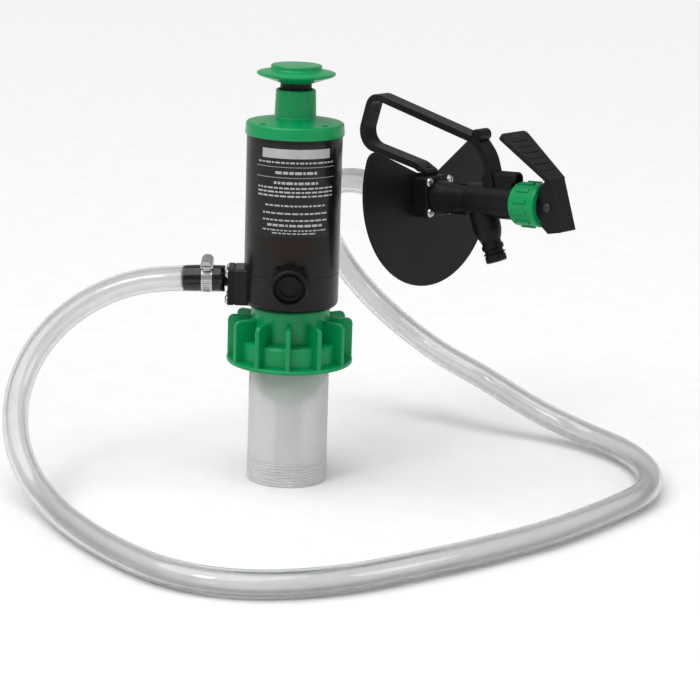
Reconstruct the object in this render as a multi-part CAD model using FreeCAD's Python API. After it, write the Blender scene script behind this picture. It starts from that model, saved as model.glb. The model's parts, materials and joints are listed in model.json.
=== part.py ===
"""Hand drum pump: plunger air pump, bung adapter, clear hose and hand-held tap.

Millimetres.  +Z is up, the origin is on the pump axis in the plane of the drum lid.
The outlet flange faces -X and the relief valve faces -Y.
"""
import FreeCAD, Part
import math
import os

V = FreeCAD.Vector
os.makedirs("parts", exist_ok=True)

# ---------------------------------------------------------------- driving sizes
# Adapter tube, 2 inch straight pipe thread
THREAD_R = 30.15
TUBE_R = 29.8
TUBE_BORE_R = 26.4
THREAD_BOTTOM = -25.0
THREAD_TOP = 24.0
TUBE_TOP = 101.0
PIPE_PITCH = 2.209

# Union wing nut
NUT_BOTTOM = 91.5
FLANGE_R = 47.0
FLANGE_THICK = 3.0
RING_R = 39.5
RING_TOP = 109.4
BARREL_R = 29.3
BARREL_TOP = 134.0
WING_COUNT = 12
WING_THICK = 3.6
WING_R = 46.4
WING_TOP = 125.2

# Pump head
BODY_R = 35.0
BODY_WALL = 3.0
BODY_BOTTOM = 134.5
BODY_TOP = 261.5
CAP_R = 36.0
CAP_EDGE_TOP = 270.3
COLLAR_BASE = 274.0
COLLAR_TOP = 294.3
COLLAR_R_LOW = 15.3
COLLAR_R_HIGH = 14.5
ROD_R = 11.4
KNOB_R = 28.6
KNOB_BASE = 299.0
LABEL_TURN = 4.4
BARREL_BORE_R = 29.0
RUNNING = 0.05

# Outlet and relief valve
OUTLET_Z = 152.0
FLANGE_HALF = 15.0
RELIEF_Z = 157.0
RELIEF_R = 13.3

# Hose
HOSE_R = 9.5
HOSE_BORE_R = 6.35
BARB_TIP_R = 6.34

# Tap: its own frame has +X along the body to the lever, +Z up, origin on the guard
TAP_ORIGIN = V(99.0, 30.0, 214.0)
TAP_YAW = -41.9
TAP_RISE = 4.3
TAP_BODY_R = 12.5
STEM_R = 3.0
PIN_R = 2.5
PIN_X = 118.5
SPOUT_RAKE = 19.6
SPOUT_X = 50.0
NOSE_R = 7.8
SPOUT_BORE_R = 5.0
GUARD_R = 73.0

HOSE_CLEAR = 0.1

# Spigot, dip tube and seals inside the adapter
GASKET_TOP = TUBE_TOP + 1.5
SHOULDER_TOP = GASKET_TOP + 2.0
WASHER_TOP = SHOULDER_TOP + 1.0
NUT_CEILING = WASHER_TOP + RUNNING
NECK_R = 24.0
SPIGOT_BOTTOM = 62.0
SPIGOT_WEB = 97.0
SPIGOT_BORE_R = 8.6
SLEEVE_R = TUBE_BORE_R - 0.4
SOCKET_R = 13.5
SEAL_GROOVE = (92.5, 95.5)
SEAL_GROOVE_R = 24.6
DIP_R = 10.65
DIP_BORE_R = 8.0
DIP_BOTTOM = -260.0
DIP_TOP = 92.0

# Inside the pump head
BASE_BORE_R = 20.0
MANIFOLD_LOW = 139.0
MANIFOLD_TOP = 166.0
PLATE_TOP = 171.0
LINER_R = BODY_R - BODY_WALL - 0.05
LINER_TOP = 256.0
PLUG_LOW = 256.1
PLUG_R = 30.8
BUSH_R = 12.8
AIR_HOLE_R = 1.8
AIR_HOLE_PITCH_R = 16.2
PISTON_LOW = 178.0
PISTON_TOP = 188.0
ROD_TOP = 306.0

# Fittings, screws and clamps
OUTLET_BORE_R = 5.4
OUTLET_PLATE = (-46.4, -42.2)
OUTLET_BARB = 33.0
OUTLET_HALF = 13.6
OUTLET_DROP = 3.9
TAP_BARB = 16.0
SCREW_R = 2.0
SCREW_HALF = 9.8
TAP_SCREW_HALF = 11.3
CLAMP_WIDTH = 8.0
CLAMP_BAND = 0.8
PUMP_CLAMP_X = -62.2
PUMP_CLAMP_TURN = 10.0
TAP_CLAMP_X = -16.0
TAP_CLAMP_TURN = 180.0

# Stations along the tap, and its lever and handle
GUARD_THICK = 2.0
TAP_FLANGE = 12.0
SEAT_X = 62.0
CHAMBER_R = 9.0
BONNET_START = 87.6
RING_START = 87.8
RING_END = 110.0
BONNET_INNER = 98.0
BONNET_NOSE = 113.0
BOSS_Z = 17.2
BOSS_R = 5.4
WEB_HALF = 5.1
BOSS_START = 57.0
BOSS_END = 87.0
LEVER_HALF = 9.0
LEVER_WALL = 2.2
FOLD = (121.3, 20.0)
HEEL = (131.0, -16.8)
STRAP_THICK = 4.8
STRAP_WIDTH = 13.5
FOOT = (0.1, 5.0)
FOOT_MIDDLE = 2.5
FOOT_TOP = 19.5

X = V(1, 0, 0)
Y = V(0, 1, 0)
Z = V(0, 0, 1)


# ---------------------------------------------------------------- small helpers
def rod(radius, start, direction, length):
    return Part.makeCylinder(radius, length, start, direction)


def tube(inner, outer, start, direction, length):
    return rod(outer, start, direction, length).cut(rod(inner, start, direction, length))


def ring(inner, outer, low, high):
    return tube(inner, outer, V(0, 0, low), Z, high - low)


def disc(radius, low, high):
    return rod(radius, V(0, 0, low), Z, high - low)


def turned(points, base=V(0, 0, 0), axis=Z):
    """Revolve an (r, height) outline about an axis that starts at base."""
    corners = [V(r, 0, h) for r, h in points]
    face = Part.Face(Part.makePolygon(corners + corners[:1]))
    solid = face.revolve(V(0, 0, 0), Z, 360)
    solid.Placement = FreeCAD.Placement(base, FreeCAD.Rotation(Z, axis))
    return solid


def fuse(shapes):
    return shapes[0].multiFuse(shapes[1:]).removeSplitter()


def around(make, count, first=0.0, centre=V(0, 0, 0), axis=Z):
    """Copies of one shape, evenly turned about an axis."""
    copies = []
    for index in range(count):
        copy = make.copy()
        copy.rotate(centre, axis, first + 360.0 * index / count)
        copies.append(copy)
    return copies


def box(low, high):
    size = high.sub(low)
    return Part.makeBox(size.x, size.y, size.z, low)


def soften(shape, radius, keep):
    """Fillet the edges that the test picks; leave the shape as it was if none can be."""
    edges = [edge for edge in shape.Edges if keep(edge)]
    if not edges:
        return shape
    try:
        rounded = shape.makeFillet(radius, edges)
    except Part.OCCError:
        return shape
    return rounded if rounded.isValid() else shape


def circle_at(radius, height, tolerance=0.02):
    """Test for a full horizontal circle of this radius at this height."""
    def keep(edge):
        curve = edge.Curve
        if not isinstance(curve, Part.Circle) or abs(abs(curve.Axis.z) - 1) > 1e-6:
            return False
        same_height = abs(curve.Center.z - height) < tolerance
        return same_height and abs(curve.Radius - radius) < tolerance
    return keep


def arc_path(points, radii):
    """Straight runs joined by tangent arcs: one wire through hand-placed points."""
    edges = []
    last = points[0]
    for index in range(1, len(points) - 1):
        here = points[index]
        back = points[index - 1].sub(here).normalize()
        ahead = points[index + 1].sub(here).normalize()
        half = (math.pi - back.getAngle(ahead)) / 2
        radius = radii[index - 1]
        reach = radius * math.tan(half)
        enter = here.add(back * reach)
        leave = here.add(ahead * reach)
        inward = back.add(ahead).normalize()
        middle = here.add(inward * (radius / math.cos(half) - radius))
        edges.append(Part.LineSegment(last, enter).toShape())
        edges.append(Part.Arc(enter, middle, leave).toShape())
        last = leave
    edges.append(Part.LineSegment(last, points[-1]).toShape())
    return Part.Wire(edges)


def coil(radius, wire_radius, pitch, height, start, direction):
    """Helical compression spring."""
    helix = Part.makeHelix(pitch, height, radius)
    section = Part.Wire(Part.makeCircle(wire_radius, V(radius, 0, 0), Y))
    spring = helix.makePipeShell([section], True, True)
    spring.Placement = FreeCAD.Placement(start, FreeCAD.Rotation(Z, direction))
    return spring


NODES = {}


def save(name, shape):
    NODES[name] = shape


# ---------------------------------------------------------------- drum adapter
def adapter_tube():
    wall = ring(TUBE_BORE_R, TUBE_R, THREAD_TOP, TUBE_TOP)
    thread = ring(TUBE_BORE_R, THREAD_R, THREAD_BOTTOM, THREAD_TOP)
    body = wall.fuse(thread).removeSplitter()
    groove = ring(THREAD_R - 0.55, THREAD_R + 1, 0, 0.8)
    count = int((THREAD_TOP - THREAD_BOTTOM - 4) / PIPE_PITCH)
    for turn in range(count):
        cut = groove.copy()
        cut.translate(V(0, 0, THREAD_BOTTOM + 2 + turn * PIPE_PITCH))
        body = body.cut(cut)
    return body


def wing(angle):
    """One flat wing of the union nut, with its outer top corner rounded."""
    inner = BARREL_R - 1.5
    foot = NUT_BOTTOM + 1.0
    blade = box(V(inner, -WING_THICK / 2, foot), V(WING_R, WING_THICK / 2, WING_TOP))

    def outer_top(edge):
        middle = edge.CenterOfMass
        return abs(middle.x - WING_R) < 0.01 and abs(middle.z - WING_TOP) < 0.01

    def rim(edge):
        middle = edge.CenterOfMass
        outside = middle.x > WING_R - 0.01 or middle.z > WING_TOP - 0.01
        return outside or (middle.x > WING_R - 8 and middle.z > WING_TOP - 8)

    blade = soften(blade, 4.5, outer_top)
    blade = soften(blade, 1.2, lambda edge: rim(edge) and abs(edge.CenterOfMass.y) > 1.0)
    blade.rotate(V(0, 0, 0), Z, angle)
    return blade


def union_nut():
    shell = turned([
        (20, NUT_BOTTOM), (FLANGE_R, NUT_BOTTOM), (FLANGE_R, NUT_BOTTOM + FLANGE_THICK),
        (RING_R, NUT_BOTTOM + FLANGE_THICK), (RING_R, RING_TOP), (BARREL_R, RING_TOP),
        (BARREL_R, BARREL_TOP), (20, BARREL_TOP)])
    shell = soften(shell, 3.0, circle_at(RING_R, RING_TOP))
    shell = soften(shell, 1.2, circle_at(FLANGE_R, NUT_BOTTOM + FLANGE_THICK))
    shell = soften(shell, 1.0, circle_at(FLANGE_R, NUT_BOTTOM))
    shell = soften(shell, 1.5, circle_at(BARREL_R, BARREL_TOP))
    wings = [wing(-90 + 360.0 * index / WING_COUNT) for index in range(WING_COUNT)]
    nut = fuse([shell] + wings)
    cavity = disc(TUBE_R + RUNNING, NUT_BOTTOM - 1, NUT_CEILING)
    neck = disc(NECK_R + RUNNING, NUT_BOTTOM, BARREL_TOP + 1)
    return nut.cut(cavity).cut(neck)


def spigot():
    """Green spigot: rounded sleeve in the tube bore, dip tube socket, shoulder and neck."""
    sleeve = turned([
        (14.6, SPIGOT_BOTTOM), (16.4, SPIGOT_BOTTOM), (20.0, 65.5), (23.2, 71.0), (25.2, 78.0),
        (SLEEVE_R, 86.0), (SLEEVE_R, TUBE_TOP), (23.6, TUBE_TOP), (23.6, 86.0), (22.8, 78.5),
        (20.8, 72.3), (18.0, 67.5)])
    web = ring(SPIGOT_BORE_R, SLEEVE_R, SPIGOT_WEB, TUBE_TOP)
    socket = ring(DIP_R, SOCKET_R, SPIGOT_BOTTOM, DIP_TOP)
    socket_top = ring(SPIGOT_BORE_R, SOCKET_R, DIP_TOP, SPIGOT_WEB)
    core = ring(SPIGOT_BORE_R, NECK_R, TUBE_TOP, BODY_BOTTOM)
    shoulder = ring(SPIGOT_BORE_R, TUBE_R - 0.3, GASKET_TOP, SHOULDER_TOP)
    tenon = ring(SPIGOT_BORE_R, BASE_BORE_R, BODY_BOTTOM, MANIFOLD_LOW)
    body = fuse([sleeve, web, socket, socket_top, core, shoulder, tenon])
    body = body.cut(ring(SEAL_GROOVE_R, TUBE_R, *SEAL_GROOVE))
    hole = rod(AIR_HOLE_R, V(AIR_HOLE_PITCH_R, 0, SPIGOT_WEB - 1), Z, 60)
    for cut in around(hole, 6, 30):
        body = body.cut(cut)
    return body


def spigot_seal():
    """Square ring in the sleeve's groove that runs in the tube bore."""
    return ring(SEAL_GROOVE_R, TUBE_BORE_R - RUNNING, *SEAL_GROOVE)


def dip_tube():
    """First push-on section of the dip tube."""
    return ring(DIP_BORE_R, DIP_R, DIP_BOTTOM, DIP_TOP)


# ---------------------------------------------------------------- pump head shell
def relief_axis_point(distance):
    return V(0, -distance, RELIEF_Z)


def body_shell():
    outside = disc(BODY_R, BODY_BOTTOM, BODY_TOP)
    outside = soften(outside, 4.0, circle_at(BODY_R, BODY_BOTTOM))
    pad_z = OUTLET_Z - OUTLET_DROP
    pad = box(V(-41, -OUTLET_HALF, pad_z - OUTLET_HALF), V(-20, OUTLET_HALF, pad_z + OUTLET_HALF))
    pad = soften(pad, 2.5, lambda edge: abs(edge.CenterOfMass.x + 30.5) < 0.1)
    boss = rod(14.4, relief_axis_point(20), V(0, -1, 0), 19.0)
    lug = box(V(13.2, -39.0, RELIEF_Z - 1.6), V(16.0, -31.0, RELIEF_Z + 1.6))
    lugs = around(lug, 4, 45, relief_axis_point(0), Y)
    body = fuse([outside, pad, boss] + lugs)
    body = body.cut(disc(BODY_R - BODY_WALL, MANIFOLD_LOW, BODY_TOP + 1))
    body = body.cut(disc(BASE_BORE_R, BODY_BOTTOM - 1, MANIFOLD_LOW + 1))
    body = body.cut(rod(OUTLET_BORE_R, V(-45, 0, OUTLET_Z), X, 20))
    body = body.cut(rod(9.0, relief_axis_point(25), V(0, -1, 0), 20))
    for screw in outlet_screw_axes():
        body = body.cut(rod(SCREW_R, V(-42, screw.y, screw.z), X, 8.5))
    seam = ring(BODY_R - 0.35, BODY_R + 1, 160.2, 160.7)
    seam = seam.cut(rod(17, relief_axis_point(20), V(0, -1, 0), 30))
    seam = seam.cut(box(V(-60, -20, 130), V(-20, 20, 180)))
    return body.cut(seam)


def outlet_screw_axes():
    return [V(0, y, OUTLET_Z - OUTLET_DROP + z) for y, z in square_corners(SCREW_HALF)]


def manifold():
    """Liquid riser turned towards the outlet, with air passages around it."""
    body = disc(LINER_R, MANIFOLD_LOW, MANIFOLD_TOP)
    body = body.cut(disc(SPIGOT_BORE_R, MANIFOLD_LOW - 1, OUTLET_Z))
    body = body.cut(Part.makeSphere(SPIGOT_BORE_R, V(0, 0, OUTLET_Z)))
    body = body.cut(rod(OUTLET_BORE_R, V(0, 0, OUTLET_Z), V(-1, 0, 0), 40))
    body = body.cut(disc(18.5, MANIFOLD_TOP - 3.5, MANIFOLD_TOP + 1))
    hole = rod(AIR_HOLE_R, V(AIR_HOLE_PITCH_R, 0, MANIFOLD_LOW - 1), Z, 40)
    for cut in around(hole, 6, 30):
        body = body.cut(cut)
    return body.cut(rod(5.0, relief_axis_point(14), V(0, -1, 0), 20))


def valve_plate():
    body = disc(LINER_R, MANIFOLD_TOP, PLATE_TOP)
    body = body.cut(disc(2.2, MANIFOLD_TOP - 1, PLATE_TOP + 1))
    hole = rod(2.0, V(9, 0, MANIFOLD_TOP - 1), Z, 10)
    for cut in around(hole, 6):
        body = body.cut(cut)
    return body


def check_valve():
    """Rubber umbrella that lets air down through the valve plate only."""
    canopy = turned([(0, MANIFOLD_TOP - 2.2), (5, MANIFOLD_TOP - 2.2),
                     (14, MANIFOLD_TOP - 0.9), (14, MANIFOLD_TOP), (0, MANIFOLD_TOP)])
    stalk = disc(2.15, MANIFOLD_TOP, PLATE_TOP)
    bead = turned([(0, PLATE_TOP), (3.2, PLATE_TOP), (1.4, PLATE_TOP + 3.0), (0, PLATE_TOP + 3)])
    return fuse([canopy, stalk, bead])


def air_cylinder():
    return ring(BARREL_BORE_R, LINER_R, PLATE_TOP, LINER_TOP)


def cap():
    """Screw-in cap with its tall collar, four spanner slots and the bore for the rod bush."""
    body = turned([
        (BUSH_R, PLUG_LOW), (PLUG_R, PLUG_LOW), (PLUG_R, 260.0),
        (LINER_R, 260.0), (LINER_R, BODY_TOP),
        (CAP_R, BODY_TOP), (CAP_R + 0.25, BODY_TOP + 1), (CAP_R - 0.3, CAP_EDGE_TOP),
        (COLLAR_R_LOW, COLLAR_BASE), (COLLAR_R_HIGH, COLLAR_TOP), (BUSH_R, COLLAR_TOP)])
    body = soften(body, 2.0, circle_at(CAP_R - 0.3, CAP_EDGE_TOP))
    body = soften(body, 1.2, circle_at(COLLAR_R_HIGH, COLLAR_TOP))
    body = soften(body, 1.0, circle_at(COLLAR_R_LOW, COLLAR_BASE))
    slot = box(V(30.4, -2.6, 267.5), V(32.6, 2.6, COLLAR_BASE + 1))
    for cut in around(slot, 4, 45):
        body = body.cut(cut)
    return body


def cap_seal():
    return ring(PLUG_R, LINER_R, 258.0, 260.0)


def rod_bush():
    return ring(ROD_R + RUNNING, BUSH_R, PLUG_LOW, 288.0)


def rod_wiper():
    return turned([(ROD_R + RUNNING, 288.2), (BUSH_R, 288.2), (BUSH_R, COLLAR_TOP - 0.5),
                   (ROD_R + 0.6, COLLAR_TOP - 0.5), (ROD_R + RUNNING, COLLAR_TOP - 2)])


# ---------------------------------------------------------------- plunger


def plunger_rod():
    """Round rod with twelve shallow flutes, so that ribs run up its sides."""
    body = disc(ROD_R, PISTON_TOP, KNOB_BASE)
    flute = rod(2.2, V(ROD_R + 1.2, 0, PISTON_TOP + 2), Z, KNOB_BASE - PISTON_TOP - 4)
    for cut in around(flute, 12, 15):
        body = body.cut(cut)
    tenon = disc(7.0, KNOB_BASE, ROD_TOP)
    foot = disc(5.0, PISTON_LOW, PISTON_TOP)
    return fuse([body, tenon, foot])


def piston():
    return turned([
        (5.0, PISTON_LOW), (27.5, PISTON_LOW), (27.5, 181.0), (25.0, 181.0), (25.0, 185.0),
        (27.5, 185.0), (27.5, PISTON_TOP), (5.0, PISTON_TOP)])


def piston_seal():
    """Lip seal in the piston's groove."""
    edge = BARREL_BORE_R - RUNNING
    return turned([(25.0, 181.0), (edge - 1.2, 181.0), (edge, 182.0), (edge, 184.4),
                   (edge - 0.6, 185.0), (25.0, 185.0)])


def knob():
    """Mushroom knob: rounded underside, thin rim and a raised round top."""
    rim_z = 305.6
    body = turned([
        (7.0, KNOB_BASE), (13.0, KNOB_BASE), (KNOB_R - 1.2, rim_z - 1.5), (KNOB_R, rim_z - 0.6),
        (KNOB_R, rim_z + 0.6), (KNOB_R - 1.4, rim_z + 1.2), (18.6, 308.6), (18.6, 311.9),
        (0, 311.9), (0, ROD_TOP), (7.0, ROD_TOP)])
    body = soften(body, 0.5, circle_at(KNOB_R, rim_z - 0.6))
    body = soften(body, 0.5, circle_at(KNOB_R, rim_z + 0.6))
    body = soften(body, 1.2, circle_at(18.6, 311.9))
    return soften(body, 1.5, circle_at(18.6, 308.6))


# ---------------------------------------------------------------- label
def label():
    """Thin curved plate on the front of the body, with rounded corners."""
    skin = ring(BODY_R + 0.02, BODY_R + 0.45, 191.0, 259.0)
    half_width = 28.5
    window = box(V(-half_width, -50, 191.0), V(half_width, -5, 259.0))
    corners = [edge for edge in window.Edges
               if abs(edge.CenterOfMass.y + 27.5) < 0.1 and edge.Length > 40]
    window = window.makeFillet(5.0, corners)
    window.rotate(V(0, 0, 0), Z, LABEL_TURN)
    return skin.common(window)


# ---------------------------------------------------------------- relief valve
def relief_seat():
    body = rod(8.95, relief_axis_point(31.95), V(0, -1, 0), 3.0)
    return body.cut(rod(3.0, relief_axis_point(30), V(0, -1, 0), 8))


def relief_poppet():
    """Rubber-faced disc on a short stem."""
    face = rod(5.5, relief_axis_point(34.95), V(0, -1, 0), 1.6)
    stem = rod(1.8, relief_axis_point(36.5), V(0, -1, 0), 6.0)
    return fuse([face, stem])


def relief_spring():
    return coil(3.3, 0.55, 2.6, 3.2, relief_axis_point(37.3), V(0, -1, 0))


def relief_knob():
    """Hollow black knob with an inner ring."""
    front = 51.0
    back = 39.3
    body = rod(RELIEF_R, relief_axis_point(back), V(0, -1, 0), front - back)

    def outer_rim(edge):
        curve = edge.Curve
        if not isinstance(curve, Part.Circle):
            return False
        return abs(curve.Center.y + front) < 0.01

    body = soften(body, 1.4, outer_rim)
    body = body.cut(rod(11.6, relief_axis_point(back + 5.5), V(0, -1, 0), 20))
    collar = tube(7.6, 8.6, relief_axis_point(back + 5.0), V(0, -1, 0), 4.0)
    body = fuse([body, collar])
    sleeve = tube(4.3, 8.9, relief_axis_point(back - 2.3), V(0, -1, 0), 2.4)
    body = body.fuse(sleeve).removeSplitter()
    return body.cut(rod(4.4, relief_axis_point(back - 3), V(0, -1, 0), 6.5))


# ---------------------------------------------------------------- barbed fittings
def square_plate(low_x, high_x, half, bore, corner=2.5):
    """Square flange plate across the X axis, with rounded corners and a bore."""
    plate = box(V(low_x, -half, -half), V(high_x, half, half))
    middle = (low_x + high_x) / 2
    plate = soften(plate, corner, lambda edge: abs(edge.CenterOfMass.x - middle) < 0.01)
    return plate.cut(rod(bore, V(low_x - 1, 0, 0), X, high_x - low_x + 2))


def barb(start_x, length, bore):
    """Hose barb that runs towards -X from start_x, with saw-tooth rings."""
    core = 5.6
    outline = [(bore, 0), (core, 0)]
    step = 6.6
    rings = round((length - 4.0) / step)
    for index in range(rings):
        foot = 3.0 + index * step
        outline += [(core, foot), (BARB_TIP_R, foot), (BARB_TIP_R, foot + 1.6),
                    (core, foot + step - 0.8)]
    outline += [(core, length), (bore, length)]
    return turned(outline, V(start_x, 0, 0), V(-1, 0, 0))


def barbed_fitting(plate_low, plate_high, half, drop, barb_length, screw_half, bore=4.6):
    """Square plate with its centre below the barb by the drop, and four screw holes."""
    plate = square_plate(plate_low, plate_high, half, 0.5)
    plate.translate(V(0, 0, -drop))
    body = fuse([plate, barb(plate_low, barb_length, bore)])
    body = body.cut(rod(bore, V(plate_low - 1, 0, 0), X, 20))
    for y, z in square_corners(screw_half):
        body = body.cut(rod(SCREW_R + 0.2, V(plate_low - 1, y, z - drop), X, 20))
    return body


def square_corners(half):
    return [(-half, -half), (-half, half), (half, -half), (half, half)]


def screw(head_x, y, z, direction, shank):
    """Pan head screw with a cross recess; the head sits on head_x."""
    base = V(head_x, y, z)
    head = turned([(0, 0), (3.4, 0), (3.4, 0.7), (2.6, 1.8), (1.2, 2.3), (0, 2.4)],
                  base, direction)
    body = head.fuse(rod(SCREW_R - 0.05, base, direction * -1, shank)).removeSplitter()
    across = box(V(-0.45, -1.9, 1.2), V(0.45, 1.9, 3.0))
    along = box(V(-1.9, -0.45, 1.2), V(1.9, 0.45, 3.0))
    for slot in (across, along):
        slot.Placement = FreeCAD.Placement(base, FreeCAD.Rotation(Z, direction))
        body = body.cut(slot)
    return body


def outlet_gasket():
    plate = square_plate(-42.2, -41.0, OUTLET_HALF - 0.4, 0.5)
    plate.translate(V(0, 0, -OUTLET_DROP))
    plate = plate.cut(rod(OUTLET_BORE_R, V(-50, 0, 0), X, 20))
    for y, z in square_corners(SCREW_HALF):
        plate = plate.cut(rod(SCREW_R + 0.2, V(-50, y, z - OUTLET_DROP), X, 20))
    return lifted(plate)


def lifted(shape):
    shape = shape.copy()
    shape.translate(V(0, 0, OUTLET_Z))
    return shape


def outlet_fitting():
    low, high = OUTLET_PLATE
    return lifted(barbed_fitting(low, high, OUTLET_HALF, OUTLET_DROP, OUTLET_BARB, SCREW_HALF))


def outlet_screws():
    low = OUTLET_PLATE[0]
    screws = [screw(low, y, z - OUTLET_DROP, V(-1, 0, 0), 12.5)
              for y, z in square_corners(SCREW_HALF)]
    return lifted(Part.makeCompound(screws))


# ---------------------------------------------------------------- hose and clamps
# Hand-placed route from the outlet, round the front on the lid, up behind the pump
# and back into the tap.  The last two points lie on the tap's own axis.
HOSE_ROUTE = [
    (-49, 0, 152), (-85, 0, 152), (-126, 8, 143.5), (-163, 2, 124), (-188, -14, 98),
    (-199, -36, 68.5), (-196, -61, 41), (-182, -87.5, 21), (-165, -113, 12), (-148, -146, 10),
    (-114, -198, 9.6), (-69, -246, 9.6), (-17, -262, 9.6), (42, -248, 9.6), (97, -212, 9.6),
    (145, -177, 9.6), (194, -135, 9.6), (236, -86, 9.6), (269, -42, 9.6), (277, 10, 9.6),
    (264, 60, 10.5), (232, 100, 12.5), (195, 123, 24), (153, 140, 46), (118, 174, 56),
    (83, 194, 77.5), (52, 197.5, 105.5), (29, 186, 139), (18, 160.5, 174), (23.5, 126, 201.5),
    (43, 88, 215), (73.02, 53.31, 211.37), (93.06, 35.33, 213.40)]
ARC_SHARE = 0.45


def hose_radii():
    """Each arc is as large as its two runs allow."""
    points = [V(*point) for point in HOSE_ROUTE]
    radii = []
    for before, here, after in zip(points, points[1:], points[2:]):
        run_in = here.sub(before)
        run_out = after.sub(here)
        turn = run_in.getAngle(run_out)
        shorter = min(run_in.Length, run_out.Length)
        radii.append(ARC_SHARE * shorter / math.tan(turn / 2))
    return radii


def hose():
    points = [V(*point) for point in HOSE_ROUTE]
    radii = hose_radii()
    path = arc_path(points, radii)
    start = points[0]
    outer = Part.Wire(Part.makeCircle(HOSE_R, start, X))
    inner = Part.Wire(Part.makeCircle(HOSE_BORE_R, start, X))
    body = path.makePipe(Part.Face(outer)).cut(path.makePipe(Part.Face(inner)))
    section = math.pi * (HOSE_R ** 2 - HOSE_BORE_R ** 2)
    print("hose arc radii", [round(radius) for radius in radii])
    print("hose length", round(path.Length, 1), "volume ratio",
          round(body.Volume / (section * path.Length), 4))
    return body


def clamp_pieces():
    """Worm-drive clamp on the X axis at x = 0: band, screw housing, worm screw."""
    inner = HOSE_R + HOSE_CLEAR
    outer = inner + CLAMP_BAND
    band = tube(inner, outer, V(-CLAMP_WIDTH / 2, 0, 0), X, CLAMP_WIDTH)
    slot = box(V(-2.4, -0.6, outer - 0.35), V(2.4, 0.6, outer + 2))
    for step in range(26):
        cut = slot.copy()
        cut.rotate(V(0, 0, 0), X, 40 + step * 10)
        band = band.cut(cut)
    band = band.cut(box(V(-3.2, -6.2, inner + 0.2), V(3.2, 6.2, outer + 2)))
    housing = box(V(-4.7, -6.0, outer - 0.6), V(4.7, 6.0, outer + 6.2))
    housing = soften(housing, 4.4, lambda edge: abs(edge.CenterOfMass.z - outer - 6.2) < 0.01
                     and abs(edge.CenterOfMass.y) < 0.1)
    worm_z = outer + 3.0
    housing = housing.cut(rod(2.65, V(0, -8, worm_z), Y, 16))
    housing = housing.cut(rod(outer - 0.02, V(-8, 0, 0), X, 16))
    worm = rod(2.6, V(0, -6.4, worm_z), Y, 13.0)
    head = Part.makeCylinder(3.9, 4.0, V(0, -10.4, worm_z), Y)
    head = head.common(hexagon(7.0, V(0, -10.4, worm_z), 4.0))
    head = head.cut(box(V(-5, -11, worm_z - 0.5), V(5, -9.2, worm_z + 0.5)))
    return band, housing, fuse([worm, head])


def hexagon(across_flats, base, length):
    """Hexagonal bar along +Y."""
    radius = across_flats / math.sqrt(3)
    corners = []
    for index in range(6):
        angle = math.radians(60 * index)
        corners.append(base.add(V(radius * math.cos(angle), 0, radius * math.sin(angle))))
    face = Part.Face(Part.makePolygon(corners + corners[:1]))
    return face.extrude(V(0, length, 0))


def placed_clamp(turn, x):
    placed = []
    for piece in clamp_pieces():
        copy = piece.copy()
        copy.rotate(V(0, 0, 0), X, turn)
        copy.translate(V(x, 0, 0))
        placed.append(copy)
    return placed


# ---------------------------------------------------------------- tap, in its own frame
def in_tap(shape):
    turn = FreeCAD.Rotation(Z, TAP_YAW).multiply(FreeCAD.Rotation(Y, -TAP_RISE))
    shape = shape.copy()
    move = FreeCAD.Placement(TAP_ORIGIN, turn)
    shape.Placement = move.multiply(shape.Placement)
    return shape


def splash_guard():
    """Round guard with a broad wedge left out at the top for the hand."""
    centre = V(-GUARD_THICK, 3.0, 4.2)
    body = rod(GUARD_R, centre, X, GUARD_THICK)
    reach = 120.0
    left = V(0, -10, 17.5)
    right = V(0, 15, 16.5)
    left_far = left.add(V(0, -math.cos(math.radians(24)), math.sin(math.radians(24))) * reach)
    right_far = right.add(V(0, math.cos(math.radians(28)), math.sin(math.radians(28))) * reach)
    corners = [left, left_far, V(0, left_far.y, 150), V(0, right_far.y, 150), right_far, right]
    corners = [corner.add(V(-10, 0, 0)) for corner in corners]
    wedge = Part.Face(Part.makePolygon(corners + corners[:1])).extrude(V(20, 0, 0))
    body = body.cut(wedge)

    def lobe_corner(edge):
        middle = edge.CenterOfMass
        across = abs(edge.Length - GUARD_THICK) < 0.01
        return across and abs(middle.y) > 50 and middle.z > 20

    body = soften(body, 9.0, lobe_corner)
    body = soften(body, 0.7, lambda edge: edge.Length > 60 and abs(edge.CenterOfMass.x) < 0.01)
    body = body.cut(rod(5.0, V(-10, 0, 0), X, 20))
    for y, z in square_corners(TAP_SCREW_HALF):
        body = body.cut(rod(SCREW_R + 0.2, V(-10, y, z), X, 20))
    return body


def tap_inlet_fitting():
    return barbed_fitting(-8.0, -GUARD_THICK - 1.0, FLANGE_HALF, 0, TAP_BARB, TAP_SCREW_HALF)


def tap_gasket():
    plate = square_plate(-GUARD_THICK - 1.0, -GUARD_THICK, FLANGE_HALF - 0.6, 5.0)
    for y, z in square_corners(TAP_SCREW_HALF):
        plate = plate.cut(rod(SCREW_R + 0.2, V(-10, y, z), X, 20))
    return plate


def spout_direction():
    rake = math.radians(SPOUT_RAKE)
    return V(math.sin(rake), 0, -math.cos(rake))


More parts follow.
